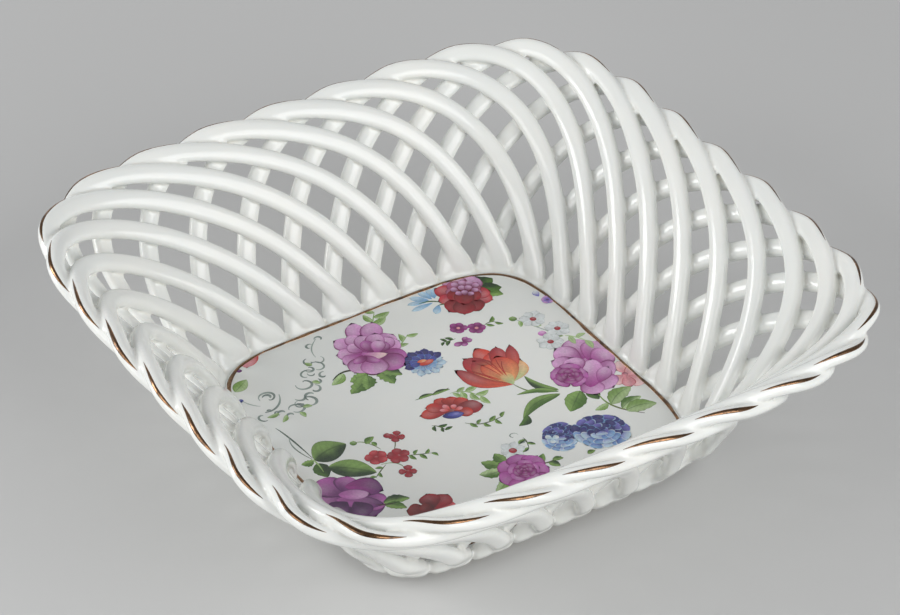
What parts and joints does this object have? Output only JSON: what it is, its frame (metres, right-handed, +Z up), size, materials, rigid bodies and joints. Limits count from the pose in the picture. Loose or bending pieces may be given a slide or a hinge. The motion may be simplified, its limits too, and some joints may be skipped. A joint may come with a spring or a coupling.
{
  "type": "reticulated porcelain basket",
  "caption": "Square porcelain basket with rounded corners: looped strands cross in an openwork wall and make a twisted rim over a flat floor plate on a low foot ring.",
  "frame": {"origin": "centre of the bounding box's bottom face, on the plane that the foot ring stands on", "axes": "+Z up out of the basket; X and Y across its two pairs of sides"},
  "size_m": [0.2142, 0.2142, 0.0666],
  "materials": {
    "glazed_porcelain": "glossy white porcelain glaze, opaque",
    "bare_porcelain": "matt unglazed porcelain where the basket stands, opaque"
  },
  "bodies": {
    "root": {"foot_ring": "bare_porcelain", "floor_plate": "glazed_porcelain", "strand_01": "glazed_porcelain", "strand_02": "glazed_porcelain", "strand_03": "glazed_porcelain", "strand_04": "glazed_porcelain", "strand_05": "glazed_porcelain", "strand_06": "glazed_porcelain", "strand_07": "glazed_porcelain", "strand_08": "glazed_porcelain", "strand_09": "glazed_porcelain", "strand_10": "glazed_porcelain", "strand_11": "glazed_porcelain", "strand_12": "glazed_porcelain", "strand_13": "glazed_porcelain", "strand_14": "glazed_porcelain", "strand_15": "glazed_porcelain", "strand_16": "glazed_porcelain", "strand_17": "glazed_porcelain", "strand_18": "glazed_porcelain", "strand_19": "glazed_porcelain", "strand_20": "glazed_porcelain", "strand_21": "glazed_porcelain", "strand_22": "glazed_porcelain", "strand_23": "glazed_porcelain", "strand_24": "glazed_porcelain", "strand_25": "glazed_porcelain", "strand_26": "glazed_porcelain", "strand_27": "glazed_porcelain", "strand_28": "glazed_porcelain", "strand_29": "glazed_porcelain", "strand_30": "glazed_porcelain", "strand_31": "glazed_porcelain", "strand_32": "glazed_porcelain"}
  },
  "joints": []
}
